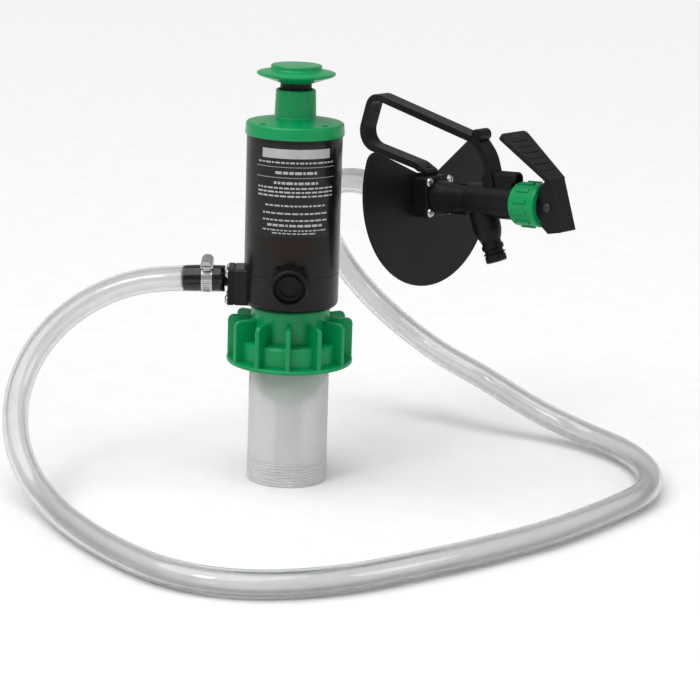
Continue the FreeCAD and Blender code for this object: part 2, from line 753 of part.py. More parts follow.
def tap_body():
    """Flange block, neck, valve barrel, raked spout, top boss and ribs in one casting."""
    block = box(V(0, -FLANGE_HALF, -FLANGE_HALF), V(TAP_FLANGE, FLANGE_HALF, FLANGE_HALF))
    block = soften(block, 2.5, lambda edge: abs(edge.CenterOfMass.x - TAP_FLANGE / 2) < 0.01)
    block = soften(block, 0.8, lambda edge: abs(edge.CenterOfMass.x - TAP_FLANGE) < 0.01)
    neck = turned([(0, 0), (12.5, 0), (10.9, 12), (9.6, 32), (0, 32)], V(TAP_FLANGE, 0, 0), X)
    barrel = rod(TAP_BODY_R, V(42, 0, 0), X, BONNET_START - 42)
    barrel = soften(barrel, 2.0, lambda edge: abs(edge.CenterOfMass.x - 42) < 0.1)
    thread = rod(11.8, V(BONNET_START, 0, 0), X, 12.0)
    belly_web = box(V(TAP_FLANGE, -1.5, -TAP_BODY_R + 0.4), V(50, 1.5, 0))
    ribs = []
    for level in (-9.5, -6.5):
        ribs.append(box(V(TAP_FLANGE, -4.5, level), V(46, 4.5, level + 1.0)))
    ledge = box(V(TAP_FLANGE, -1.5, 0), V(46, 1.5, TAP_BODY_R - 1.6))
    boss = rod(BOSS_R, V(BOSS_START, 0, BOSS_Z), X, BOSS_END - BOSS_START)
    boss = soften(boss, 0.8, lambda edge: abs(edge.CenterOfMass.x - BOSS_END) < 0.1)
    boss_web = box(V(BOSS_START, -WEB_HALF, 8), V(BOSS_END - 3, WEB_HALF, BOSS_Z))
    base = V(SPOUT_X, 0, 0)
    along = spout_direction()
    spout = turned([(0, 4), (9.8, 4), (10.3, 12), (10.4, 20), (9.9, 24.5), (8.6, 28.5),
                    (7.2, 31.5), (7.1, 33.6), (8.1, 34.6), (8.1, 37.4), (6.9, 38.0),
                    (6.9, 40.0), (8.2, 40.2), (8.2, 41.0), (7.0, 41.4), (7.0, 41.8),
                    (NOSE_R, 42.4), (NOSE_R, 46.4), (7.2, 47.2), (0, 47.2)], base, along)
    rib_side = [V(40.5, 0, -9), V(47, 0, -9), V(57, 0, -34), V(53, 0, -33), V(47.8, 0, -27)]
    rib = Part.Face(Part.makePolygon(rib_side + rib_side[:1])).extrude(V(0, 2.8, 0))
    rib.translate(V(0, -1.4, 0))
    body = fuse([block, neck, barrel, thread, belly_web, ledge, boss, boss_web, spout, rib] + ribs)
    body = body.cut(rod(5.0, V(-1, 0, 0), X, SEAT_X + 1))
    body = body.cut(rod(CHAMBER_R, V(SEAT_X, 0, 0), X, 60))
    body = body.cut(rod(SPOUT_BORE_R, base.add(along * 9.5), along, 60))
    body = body.cut(rod(2.8, V(52, 0, -8.7), X, 23))
    body = body.cut(rod(2.3, V(70, 0, BOSS_Z), X, 30))
    body = body.cut(rod(3.9, V(BOSS_END - 5, 0, BOSS_Z), X, 10))
    body = body.cut(rod(1.15, V(FOOT_MIDDLE, 0, FLANGE_HALF - 4), Z, 10))
    for y, z in square_corners(TAP_SCREW_HALF):
        body = body.cut(rod(SCREW_R, V(-1, y, z), X, 30))
    return body


def tap_flange_screws():
    screws = [screw(TAP_FLANGE, y, z, X, 18.0) for y, z in square_corners(TAP_SCREW_HALF)]
    return Part.makeCompound(screws)


def handle_loop():
    """Flat strap bent into a D: up from the barrel, back over the hand, down to the flange."""
    points = [V(66.0, 0, 12.6), V(60.4, 0, 33.0), V(51.5, 0, 43.8), V(-48.0, 0, 73.4),
              V(-62.0, 0, 36.4), V(-5.6, 0, 22.2), V(3.0, 0, 17.3)]
    path = arc_path(points, [24.0, 7.0, 9.0, 13.0, 6.0])
    outline = path.makeOffset2D(STRAP_THICK / 2, 2, False, False, False)
    strap = Part.Face(outline).extrude(V(0, STRAP_WIDTH, 0))
    strap.translate(V(0, -STRAP_WIDTH / 2, 0))
    foot = box(V(FOOT[0], -STRAP_WIDTH / 2, FLANGE_HALF), V(FOOT[1], STRAP_WIDTH / 2, FOOT_TOP))
    foot = soften(foot, 2.5, lambda edge: abs(edge.CenterOfMass.x - FOOT[1]) < 0.01
                  and abs(edge.CenterOfMass.z - FOOT_TOP) < 0.01)
    knuckle = rod(4.5, V(52.8, 0.8 - STRAP_WIDTH / 2, 47.7), Y, STRAP_WIDTH - 1.6)
    body = fuse([strap, foot, knuckle])
    saddle = rod(TAP_BODY_R + 0.02, V(40, 0, 0), X, 60)
    boss_seat = rod(BOSS_R + 0.02, V(50, 0, BOSS_Z), X, BOSS_END - 50)
    web_seat = box(V(40, -WEB_HALF - 0.02, 0), V(BOSS_END, WEB_HALF + 0.02, BOSS_Z))
    block_seat = box(V(-10, -STRAP_WIDTH, 0), V(TAP_FLANGE + 0.1, STRAP_WIDTH, FLANGE_HALF + 0.02))
    guard_seat = box(V(-10, -STRAP_WIDTH, 0), V(0.05, STRAP_WIDTH, FLANGE_HALF + 2.8))
    for cut in (saddle, boss_seat, web_seat, block_seat, guard_seat):
        body = body.cut(cut)
    body = body.cut(rod(1.2, V(FOOT_MIDDLE, 0, 10), Z, 20))
    body = body.cut(rod(2.2, V(FOOT_MIDDLE, 0, FOOT_TOP - 0.6), Z, 10))
    body = max(body.Solids, key=lambda solid: solid.Volume)
    return soften(body, 0.7, lambda edge: abs(abs(edge.CenterOfMass.y) - STRAP_WIDTH / 2) < 0.01
                  and edge.CenterOfMass.z > 26 and edge.Length > 6)


def handle_screws():
    """A small screw down through the strap's foot, and one in the end of the barrel's boss."""
    seat = FOOT_TOP - 0.6 + 0.02
    down = turned([(0, -6.0), (1.1, -6.0), (1.1, 0), (2.1, 0), (2.1, 0.8), (1.3, 1.3), (0, 1.3)],
                  V(FOOT_MIDDLE, 0, seat))
    front = screw(BOSS_END - 4.98, 0, BOSS_Z, X, 9.0)
    return Part.makeCompound([down, front])


def bonnet_ring():
    """Green ribbed ring that screws on the barrel and holds the bonnet."""
    inner = 11.85
    body = turned([(inner, 0), (14.8, 0), (15.8, 1.2), (15.8, RING_END - RING_START - 1.0),
                   (15.0, RING_END - RING_START), (10.95, RING_END - RING_START),
                   (10.95, 14.0), (inner, 14.0)], V(RING_START, 0, 0), X)
    rib = box(V(RING_START + 5.0, -1.5, 15.0), V(RING_END - 6.0, 1.5, 16.9))
    rib = soften(rib, 0.6, lambda edge: edge.CenterOfMass.z > 16.8)
    return fuse([body] + around(rib, 12, 15, V(0, 0, 0), X))


def bonnet():
    """Black bonnet that guides the stem and closes the valve chamber."""
    length = BONNET_NOSE - BONNET_INNER
    outline = [(STEM_R + RUNNING, 0), (8.9, 0), (8.9, 4.0), (10.9, 4.0), (10.9, 9.5),
               (7.2, 12.5), (5.5, length), (STEM_R + RUNNING, length)]
    return turned(outline, V(BONNET_INNER, 0, 0), X)


def valve_stem():
    """Stem with the seal plate at its inner end and a flat eye for the lever pin."""
    plate = rod(6.8, V(64.4, 0, 0), X, 2.6)
    shank = rod(STEM_R, V(66.9, 0, 0), X, PIN_X - 2 - 66.9)
    eye = rod(5.0, V(PIN_X, -5.0, 0), Y, 10.0)
    body = fuse([plate, shank, eye])
    return body.cut(rod(PIN_R, V(PIN_X, -10, 0), Y, 20))


def valve_seal():
    return rod(7.0, V(SEAT_X, 0, 0), X, 2.4)


def stem_spring():
    return coil(5.6, 0.6, 5.0, 24.0, V(72.6, 0, 0), X)


def lever():
    """Channel lever: slanted front web, two cheeks and a flared thumb pad with ribs."""
    side = [V(111.6, 0, 12.4), V(116.4, 0, 18.6), V(FOLD[0], 0, FOLD[1]), V(HEEL[0], 0, HEEL[1]),
            V(119.2, 0, -18.6), V(113.4, 0, -13.6)]
    face = Part.Face(Part.makePolygon(side + side[:1]))
    block = face.extrude(V(0, 2 * LEVER_HALF, 0))
    block.translate(V(0, -LEVER_HALF, 0))
    block = soften(block, 1.0, lambda edge: edge.CenterOfMass.x > 124 and edge.Length > 17)
    hollow_side = [V(100, 0, 14), V(FOLD[0] - 3.4, 0, 17.6), V(FOLD[0] - 2.4, 0, FOLD[1] - 2.4),
                   V(HEEL[0] - 2.6, 0, HEEL[1] + 2.2), V(HEEL[0] - 2.0, 0, -30),
                   V(100, 0, -30)]
    hollow = Part.Face(Part.makePolygon(hollow_side + hollow_side[:1]))
    inner_half = LEVER_HALF - LEVER_WALL
    hollow = hollow.extrude(V(0, 2 * inner_half, 0))
    hollow.translate(V(0, -inner_half, 0))
    channel = block.cut(hollow)
    pad = thumb_pad()
    body = fuse([channel, pad])
    body = soften(body, 2.0, lambda edge: abs(edge.CenterOfMass.x - FOLD[0]) < 1.0
                  and abs(edge.CenterOfMass.z - FOLD[1]) < 1.0 and edge.Length > 16)
    return body.cut(rod(PIN_R + RUNNING, V(PIN_X, -20, 0), Y, 40))


def thumb_pad():
    """Flat pad that flares from the fold to its rounded tip."""
    length = 50.5
    foot_half = 9.2
    tip_half = 15.5
    thick = 3.4
    outline = [V(0, -foot_half, 0), V(length, -tip_half, 0), V(length, tip_half, 0),
               V(0, foot_half, 0)]
    pad = Part.Face(Part.makePolygon(outline + outline[:1])).extrude(V(0, 0, -thick))
    pad = soften(pad, 3.5, lambda edge: abs(edge.Length - thick) < 0.01
                 and edge.CenterOfMass.x > length - 1)
    rib = box(V(0, -8.0, -0.2), V(1.6, 8.0, 0.35))
    ribs = []
    for index in range(6):
        bar = rib.copy()
        bar.translate(V(10 + index * 6.2, 0, 0))
        ribs.append(bar)
    pad = fuse([pad] + ribs)
    rise = math.degrees(math.atan2(51.0 - FOLD[1], FOLD[0] - 81.6))
    pad.rotate(V(0, 0, 0), Y, -rise)
    pad.rotate(V(0, 0, 0), Z, 180)
    pad.translate(V(FOLD[0], 0, FOLD[1]))
    return pad


def lever_pin():
    shank = rod(PIN_R - 0.02, V(PIN_X, -LEVER_HALF - 0.1, 0), Y, 2 * LEVER_HALF + 0.2)
    heads = []
    for side in (-1, 1):
        heads.append(turned([(0, 0), (3.3, 0), (3.3, 0.5), (2.4, 1.2), (0, 1.4)],
                            V(PIN_X, side * (LEVER_HALF + 0.05), 0), V(0, side, 0)))
    return fuse([shank] + heads)


# ---------------------------------------------------------------- all nodes
def build():
    save("adapter_tube", adapter_tube())
    save("union_nut", union_nut())
    save("slip_washer", ring(NECK_R + 0.1, TUBE_R - 0.3, SHOULDER_TOP, WASHER_TOP))
    save("face_gasket", ring(TUBE_BORE_R, TUBE_R - 0.3, TUBE_TOP, GASKET_TOP))
    save("spigot", spigot())
    save("spigot_seal", spigot_seal())
    save("dip_tube", dip_tube())
    save("body_shell", body_shell())
    save("manifold", manifold())
    save("valve_plate", valve_plate())
    save("check_valve", check_valve())
    save("air_cylinder", air_cylinder())
    save("cap", cap())
    save("cap_seal", cap_seal())
    save("rod_bush", rod_bush())
    save("rod_wiper", rod_wiper())
    save("plunger_rod", plunger_rod())
    save("piston", piston())
    save("piston_seal", piston_seal())
    save("knob", knob())
    save("label", label())
    save("relief_seat", relief_seat())
    save("relief_poppet", relief_poppet())
    save("relief_spring", relief_spring())
    save("relief_knob", relief_knob())
    save("outlet_gasket", outlet_gasket())
    save("outlet_fitting", outlet_fitting())
    save("outlet_screws", outlet_screws())
    save("hose", hose())
    pump_band, pump_housing, pump_worm = placed_clamp(PUMP_CLAMP_TURN, PUMP_CLAMP_X)
    save("pump_clamp_band", lifted(pump_band))
    save("pump_clamp_housing", lifted(pump_housing))
    save("pump_clamp_screw", lifted(pump_worm))
    tap_band, tap_housing, tap_worm = placed_clamp(TAP_CLAMP_TURN, TAP_CLAMP_X)
    save("tap_clamp_band", in_tap(tap_band))
    save("tap_clamp_housing", in_tap(tap_housing))
    save("tap_clamp_screw", in_tap(tap_worm))
    for name, make in (("splash_guard", splash_guard), ("tap_inlet_fitting", tap_inlet_fitting),
                       ("tap_gasket", tap_gasket), ("tap_body", tap_body),
                       ("tap_flange_screws", tap_flange_screws), ("handle_loop", handle_loop),
                       ("handle_screws", handle_screws), ("bonnet_ring", bonnet_ring),
                       ("bonnet", bonnet), ("valve_stem", valve_stem),
                       ("valve_seal", valve_seal), ("stem_spring", stem_spring),
                       ("lever", lever), ("lever_pin", lever_pin)):
        save(name, in_tap(make()))


build()
for node_name, node_shape in NODES.items():
    if not node_shape.isValid():
        print("NOT VALID", node_name)
    node_shape.exportStep("parts/" + node_name + ".step")
print(len(NODES), "nodes")
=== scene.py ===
import json
import math
import random

import bmesh
import bpy
from mathutils import Matrix, Vector


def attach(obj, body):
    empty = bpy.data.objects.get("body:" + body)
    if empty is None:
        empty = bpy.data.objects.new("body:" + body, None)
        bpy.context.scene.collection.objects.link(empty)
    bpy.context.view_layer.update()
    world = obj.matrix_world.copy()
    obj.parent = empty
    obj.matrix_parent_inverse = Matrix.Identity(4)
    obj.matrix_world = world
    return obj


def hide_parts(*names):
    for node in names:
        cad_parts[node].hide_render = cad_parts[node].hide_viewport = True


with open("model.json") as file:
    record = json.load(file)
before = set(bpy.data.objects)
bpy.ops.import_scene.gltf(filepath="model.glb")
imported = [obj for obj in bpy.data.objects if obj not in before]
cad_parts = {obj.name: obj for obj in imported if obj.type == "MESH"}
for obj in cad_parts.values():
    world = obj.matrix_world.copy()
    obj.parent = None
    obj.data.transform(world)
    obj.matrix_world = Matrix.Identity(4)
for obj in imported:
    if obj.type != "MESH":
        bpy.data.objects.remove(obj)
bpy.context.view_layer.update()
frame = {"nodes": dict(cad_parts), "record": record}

MM = 0.001
scene = bpy.context.scene
scene.view_settings.view_transform = "Standard"


# ---------------------------------------------------------------- camera
def make_camera():
    """A long lens that looks a little down, rolled a little; the angles are in radians."""
    pitch = 0.252
    roll = 0.032
    yaw = 0.002
    where = Vector((0.0419, -1.5923, 0.5103))
    forward = Vector((yaw * math.cos(pitch), math.cos(pitch), -math.sin(pitch)))
    right = Vector((1.0, -yaw, 0.0))
    up = Vector((yaw * math.sin(pitch), math.sin(pitch), math.cos(pitch)))
    rolled_right = right * math.cos(roll) + up * math.sin(roll)
    rolled_up = up * math.cos(roll) - right * math.sin(roll)
    turn = Matrix((rolled_right, rolled_up, -forward)).transposed().to_4x4()
    data = bpy.data.cameras.new("camera")
    data.sensor_width = 36.0
    data.lens = 113.35
    camera = bpy.data.objects.new("camera", data)
    camera.matrix_world = Matrix.Translation(where) @ turn
    scene.collection.objects.link(camera)
    scene.camera = camera


make_camera()


# ---------------------------------------------------------------- small helpers
def place(name, mesh, body, finish):
    """Link a smooth-shaded mesh as a piece that rides on a body."""
    mesh.materials.append(finish)
    for face in mesh.polygons:
        face.use_smooth = True
    piece = bpy.data.objects.new(name, mesh)
    scene.collection.objects.link(piece)
    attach(piece, body)
    return piece


def from_rings(name, rings):
    """Skin a list of equal point rings with quads."""
    mesh = bpy.data.meshes.new(name)
    count = len(rings[0])
    points = [point for ring in rings for point in ring]
    faces = []
    for row in range(len(rings) - 1):
        for side in range(count):
            a = row * count + side
            b = row * count + (side + 1) % count
            faces.append((a, b, b + count, a + count))
    mesh.from_pydata(points, [], faces)
    mesh.update()
    return mesh


def weld(mesh):
    """Join the skin's first and last ring, and turn all faces outwards."""
    work = bmesh.new()
    work.from_mesh(mesh)
    bmesh.ops.remove_doubles(work, verts=work.verts, dist=1e-6)
    bmesh.ops.recalc_face_normals(work, faces=work.faces)
    work.to_mesh(mesh)
    work.free()


def mark_sharp(mesh, degrees):
    """Keep hard edges crisp where two faces meet at more than this angle."""
    work = bmesh.new()
    work.from_mesh(mesh)
    limit = math.radians(degrees)
    for edge in work.edges:
        edge.smooth = len(edge.link_faces) != 2 or edge.calc_face_angle(0.0) < limit
    work.to_mesh(mesh)
    work.free()


# ---------------------------------------------------------------- materials
def material(name, **values):
    """Principled material with constants on its own sockets."""
    made = bpy.data.materials.new(name)
    made.use_nodes = True
    shader = made.node_tree.nodes["Principled BSDF"]
    for socket, value in values.items():
        shader.inputs[socket.replace("_", " ")].default_value = value
    return made


def add(made, kind, **values):
    """A new shader node with constants on its sockets."""
    node = made.node_tree.nodes.new(kind)
    for socket, value in values.items():
        node.inputs[socket.replace("_", " ")].default_value = value
    return node


def link(made, source, output, target, socket):
    made.node_tree.links.new(source.outputs[output], target.inputs[socket])


def position(made):
    return add(made, "ShaderNodeTexCoord")


def noise(made, where, scale, detail, stretch=None):
    """Noise in object space; stretch scales the axes, for drawn or brushed marks."""
    texture = add(made, "ShaderNodeTexNoise", Scale=scale, Detail=detail, Roughness=0.55)
    if stretch is None:
        link(made, where, "Object", texture, "Vector")
    else:
        mapping = add(made, "ShaderNodeMapping", Scale=stretch)
        link(made, where, "Object", mapping, "Vector")
        link(made, mapping, "Vector", texture, "Vector")
    return texture


def ramp(made, source, output, low, high, first, second):
    """Blend between two colours over a range of a value."""
    node = made.node_tree.nodes.new("ShaderNodeValToRGB")
    node.color_ramp.elements[0].position = low
    node.color_ramp.elements[0].color = (*first, 1.0)
    node.color_ramp.elements[1].position = high
    node.color_ramp.elements[1].color = (*second, 1.0)
    link(made, source, output, node, "Fac")
    return node


def spread(made, source, output, low, high):
    """Map a noise value to a range, for a roughness socket."""
    node = add(made, "ShaderNodeMapRange", To_Min=low, To_Max=high)
    link(made, source, output, node, "Value")
    return node


def bump(made, source, output, strength, distance, normal=None):
    """Relief from a value, on top of another relief if one is given."""
    node = add(made, "ShaderNodeBump", Strength=strength, Distance=distance)
    link(made, source, output, node, "Height")
    if normal is not None:
        link(made, normal, "Normal", node, "Normal")
    return node


def shader_of(made):
    return made.node_tree.nodes["Principled BSDF"]


def fade(made, source, output, start, end):
    """Rise smoothly from 0 at start to 1 at end of a value."""
    node = add(made, "ShaderNodeMapRange", From_Min=start, From_Max=end)
    node.interpolation_type = "SMOOTHSTEP"
    link(made, source, output, node, "Value")
    return node


def tint(made, source, output, colour):
    """Turn the base colour into another one where a value is 1."""
    base = shader_of(made).inputs["Base Color"]
    mix = made.node_tree.nodes.new("ShaderNodeMix")
    mix.data_type = "RGBA"
    mix.inputs["B"].default_value = (*colour, 1.0)
    made.node_tree.links.new(base.links[0].from_socket, mix.inputs["A"])
    link(made, source, output, mix, "Factor")
    made.node_tree.links.new(mix.outputs["Result"], base)


def moulded(name, dark, light, rough, grain, grain_strength, wave=0.25, **values):
    """Injection-moulded plastic: slow colour drift, fine surface grain, faint flow marks."""
    made = material(name, **values)
    where = position(made)
    drift = noise(made, where, 35.0, 4.0)
    colour = ramp(made, drift, "Fac", 0.3, 0.7, dark, light)
    link(made, colour, "Color", shader_of(made), "Base Color")
    patches = noise(made, where, 120.0, 5.0)
    gloss = spread(made, patches, "Fac", rough * 0.8, rough * 1.25)
    link(made, gloss, "Result", shader_of(made), "Roughness")
    flow = noise(made, where, 60.0, 2.0)
    soft = bump(made, flow, "Fac", wave, 0.0006)
    fine = noise(made, where, grain, 2.0)
    skin = bump(made, fine, "Fac", grain_strength, 0.00012, soft)
    link(made, skin, "Normal", shader_of(made), "Normal")
    return made


def body_plastic():
    """Black body with a warm, slightly see-through band below the label."""
    made = moulded("body_plastic", (0.005, 0.005, 0.0047), (0.008, 0.0075, 0.007), 0.28, 2400.0,
                   0.05, wave=0.12, Specular_IOR_Level=0.22)
    split = add(made, "ShaderNodeSeparateXYZ")
    link(made, position(made), "Object", split, "Vector")
    height = fade(made, split, "Z", 168 * MM, 186 * MM)
    front = fade(made, split, "Y", -27 * MM, -34 * MM)
    both = made.node_tree.nodes.new("ShaderNodeMath")
    both.operation = "MULTIPLY"
    made.node_tree.links.new(height.outputs["Result"], both.inputs[0])
    made.node_tree.links.new(front.outputs["Result"], both.inputs[1])
    tint(made, both, "Value", (0.012, 0.004, 0.001))
    return made


def paint_barb_shade_near(made, centre, radius, colour):
    """Painted shade on a clear wall where it is pressed on a black barb: the wall's own colour
    is darkened round the barb, standing in for the dark barb seen through it.
    """
    away = made.node_tree.nodes.new("ShaderNodeVectorMath")
    away.operation = "DISTANCE"
    made.node_tree.links.new(position(made).outputs["Object"], away.inputs[0])
    away.inputs[1].default_value = centre
    tint(made, fade(made, away, "Value", radius + 3 * MM, radius), "Result", colour)


def steel(name, colour, rough, stretch):
    """Stainless steel with fine drawn lines and a few smudges."""
    made = material(name, Metallic=1.0, Base_Color=(*colour, 1.0))
    where = position(made)
    lines = noise(made, where, 900.0, 3.0, stretch=stretch)
    smudge = noise(made, where, 220.0, 4.0)
    gloss = spread(made, smudge, "Fac", rough * 0.6, rough * 1.6)
    link(made, gloss, "Result", shader_of(made), "Roughness")
    grain = bump(made, lines, "Fac", 0.15, 0.00005)
    link(made, grain, "Normal", shader_of(made), "Normal")
    return made


def see_through(name, dark, light, rough, haze_scale, ripple, **values):
    """Translucent plastic: rough refraction with cloudy variation in colour and gloss."""
    made = material(name, **values)
    where = position(made)
    cloud = noise(made, where, haze_scale, 4.0)
    colour = ramp(made, cloud, "Fac", 0.25, 0.75, dark, light)
    link(made, colour, "Color", shader_of(made), "Base Color")
    gloss = spread(made, cloud, "Fac", rough * 0.8, rough * 1.2)
    link(made, gloss, "Result", shader_of(made), "Roughness")
    waves = noise(made, where, 180.0, 2.0)
    skin = bump(made, waves, "Fac", ripple, 0.0003)
    link(made, skin, "Normal", shader_of(made), "Normal")
    return made


MATERIALS = {
    "green_plastic": moulded("green_plastic", (0.0, 0.235, 0.068), (0.001, 0.270, 0.085), 0.27,
                             2600.0, 0.06, wave=0.12, Specular_IOR_Level=0.28),
    "black_plastic": moulded("black_plastic", (0.004, 0.004, 0.0044), (0.008, 0.008, 0.0084),
                             0.38, 1500.0, 0.20, Specular_IOR_Level=0.16),
    "body_black": body_plastic(),
    "label": moulded("label_film", (0.004, 0.004, 0.005), (0.007, 0.007, 0.008), 0.20, 900.0,
                     0.03, wave=0.05, Specular_IOR_Level=0.28),
    "frosted_plastic": see_through("frosted_plastic", (0.86, 0.86, 0.86), (0.91, 0.91, 0.91),
                                   0.46, 60.0, 0.02, IOR=1.2, Transmission_Weight=0.66),
    "natural_plastic": see_through("natural_plastic", (0.78, 0.79, 0.76), (0.88, 0.88, 0.85),
                                   0.35, 80.0, 0.05, IOR=1.3, Transmission_Weight=0.55),
    "clear_hose": see_through("clear_hose", (0.80, 0.80, 0.805), (0.86, 0.86, 0.865), 0.07, 25.0,
                              0.05, IOR=1.45, Transmission_Weight=0.90),
    "black_rubber": moulded("black_rubber", (0.008, 0.008, 0.008), (0.015, 0.015, 0.015), 0.7,
                            1800.0, 0.3, Specular_IOR_Level=0.3),
    "green_rubber": moulded("green_rubber", (0.012, 0.09, 0.035), (0.02, 0.12, 0.05), 0.65,
                            1800.0, 0.25),
    "white_plastic": moulded("white_plastic", (0.66, 0.66, 0.63), (0.74, 0.74, 0.71), 0.4,
                             1600.0, 0.15),
    "stainless": steel("stainless", (0.48, 0.47, 0.46), 0.22, (1.0, 14.0, 1.0)),
    "black_steel": moulded("black_steel", (0.010, 0.010, 0.010), (0.018, 0.018, 0.018), 0.34,
                           1200.0, 0.12, Specular_IOR_Level=0.4),
}


def dress_cad_nodes():
    """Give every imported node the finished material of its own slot."""
    slots = {row["node"]: row["material_slot"] for row in frame["record"]["subparts"]}
    for name, node in frame["nodes"].items():
        finish = MATERIALS[slots[name]]
        node.data.materials.clear()
        node.data.materials.append(finish)


dress_cad_nodes()


# ---------------------------------------------------------------- hose
HOSE_RADIUS = 9.5 * MM
HOSE_BORE = 6.36 * MM       # radius of the free bore
BARB_CORE = 5.5 * MM        # radius of the bore where it is pressed on a barb
PUMP_BARB = 30.0 * MM       # length of each barb inside the hose
TAP_BARB = 15.0 * MM
BARB_MIDDLES = [(-62.5 * MM, 0, 152 * MM), (93 * MM, 35.4 * MM, 213.4 * MM)]
SWELL = 0.35 * MM           # how much wider the hose is over a barb
SWELL_REACH = 34.0 * MM     # from each end to where the hose is back to its own width
HOSE_POINTS = [             # in mm, from the pump's outlet to the tap
    (-49, 0, 152), (-85, 0, 152), (-126, 8, 143.5), (-163, 2, 124), (-188, -14, 98),
    (-199, -36, 68.5), (-196, -61, 41), (-182, -87.5, 21), (-165, -113, 12), (-148, -146, 10),
    (-114, -198, 9.6), (-69, -246, 9.6), (-17, -262, 9.6), (42, -248, 9.6), (97, -212, 9.6),
    (145, -177, 9.6), (194, -135, 9.6), (236, -86, 9.6), (269, -42, 9.6), (277, 10, 9.6),
    (264, 60, 10.5), (232, 100, 12.5), (195, 123, 24), (153, 140, 46), (118, 174, 56),
    (83, 194, 77.5), (52, 197.5, 105.5), (29, 186, 139), (18, 160.5, 174), (23.5, 126, 201.5),
    (43, 88, 215), (73.02, 53.31, 211.37), (93.06, 35.33, 213.40)]


def hose_line():
    """The points of the route's smooth line, in metres."""
    curve = bpy.data.curves.new("hose_route", "CURVE")
    curve.dimensions = "3D"
    curve.resolution_u = 18
    spline = curve.splines.new("NURBS")
    spline.points.add(len(HOSE_POINTS) - 1)
    for point, where in zip(spline.points, HOSE_POINTS):
        point.co = (where[0] * MM, where[1] * MM, where[2] * MM, 1.0)
    spline.order_u = 3
    spline.use_endpoint_u = True
    guide = bpy.data.objects.new("hose_route", curve)
    scene.collection.objects.link(guide)
    bpy.context.view_layer.update()
    seen = guide.evaluated_get(bpy.context.evaluated_depsgraph_get())
    mesh = bpy.data.meshes.new_from_object(seen)
    line = [vertex.co.copy() for vertex in mesh.vertices]
    bpy.data.meshes.remove(mesh)
    bpy.data.objects.remove(guide)
    bpy.data.curves.remove(curve)
    return line


def tube_rings(line, radius_at):
    """Rings of points round a line, turned as little as possible from one to the next."""
    sides = 56
    rings = []
    along = (line[1] - line[0]).normalized()
    across = along.cross(Vector((0, 1, 0))).normalized()
    travelled = 0.0
    for index, point in enumerate(line):
        before = line[max(index - 1, 0)]
        after = line[min(index + 1, len(line) - 1)]
        direction = (after - before).normalized()
        across = (across - direction * across.dot(direction)).normalized()
        side = direction.cross(across)
        if index:
            travelled += (point - line[index - 1]).length
        radius = radius_at(travelled)
        ring = []
        for step in range(sides):
            angle = 2 * math.pi * step / sides
            ring.append(point + (across * math.cos(angle) + side * math.sin(angle)) * radius)
        rings.append(ring)
    return rings


def line_length(line):
    return sum((b - a).length for a, b in zip(line, line[1:]))


def insert_steps(line, marks):
    """Add a close pair of points at each distance, where the bore changes."""
    gap = 0.2 * MM
    result = [line[0]]
    travelled = 0.0
    for before, after in zip(line, line[1:]):
        length = (after - before).length
        for mark in marks:
            for offset in (-gap, gap):
                where = mark + offset
                if travelled < where < travelled + length:
                    result.append(before.lerp(after, (where - travelled) / length))
        result.append(after)
        travelled += length
    return result


def make_hose():
    """Clear tube with a real wall that swells a little over each barb."""
    line = hose_line()
    total = line_length(line)

    def outside(travelled):
        """Full swell over two thirds of its reach, then down to the hose's own radius."""
        over_barb = max(0.0, 1.0 - min(travelled, total - travelled) / SWELL_REACH)
        return HOSE_RADIUS + SWELL * min(1.0, over_barb * 3.0)

    def bore(travelled):
        """Over a barb the wall is pressed on its core, so that no air is left between."""
        hugging = travelled < PUMP_BARB or total - travelled < TAP_BARB
        return BARB_CORE if hugging else HOSE_BORE

    line = insert_steps(line, (PUMP_BARB, total - TAP_BARB))
    outer = tube_rings(line, outside)
    inner = tube_rings(line, bore)
    mesh = from_rings("hose_tube", outer + inner[::-1] + [outer[0]])
    # painted shade: darken the clear hose's colour round each barb's middle, where the black
    # barb shows through the wall
    for middle in BARB_MIDDLES:
        paint_barb_shade_near(MATERIALS["clear_hose"], middle, 18 * MM, (0.02, 0.02, 0.022))
    piece = place("hose_tube", mesh, "head", MATERIALS["clear_hose"])
    weld(mesh)
    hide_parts("hose")


make_hose()


# ---------------------------------------------------------------- adapter tube
THREAD_CREST = 30.15 * MM
THREAD_DEPTH = 0.75 * MM
THREAD_PITCH = 2.209 * MM
THREAD_SPAN = (-25.0 * MM, 24.0 * MM)
THREAD_LEAD = 3.0 * MM      # plain length at each end of the thread
THREAD_FADE = 2.5 * MM      # length over which it reaches its depth
TUBE_SPAN = (-25.0 * MM, 101.0 * MM)
TUBE_RADIUS = 29.8 * MM
TUBE_BORE = 26.4 * MM
TUBE_SIDES = 96
RIM_BEVEL = 0.5 * MM


def thread_radius(height, angle):
    """Rounded V thread that fades out at its top and bottom."""
    turns = height / THREAD_PITCH - angle / (2 * math.pi)
    dip = 0.5 - 0.5 * math.cos(2 * math.pi * turns)
    inset = min(height - THREAD_SPAN[0], THREAD_SPAN[1] - height)
    share = max(0.0, min(1.0, (inset - THREAD_LEAD) / THREAD_FADE))
    return TUBE_RADIUS + (THREAD_CREST - TUBE_RADIUS - THREAD_DEPTH * dip) * share


def level_ring(height, radius_at):
    """A ring of points at one height; its radius may change with height and angle."""
    ring = []
    for step in range(TUBE_SIDES):
        angle = 2 * math.pi * step / TUBE_SIDES
        radius = radius_at(height, angle)
        ring.append(Vector((radius * math.cos(angle), radius * math.sin(angle), height)))
    return ring


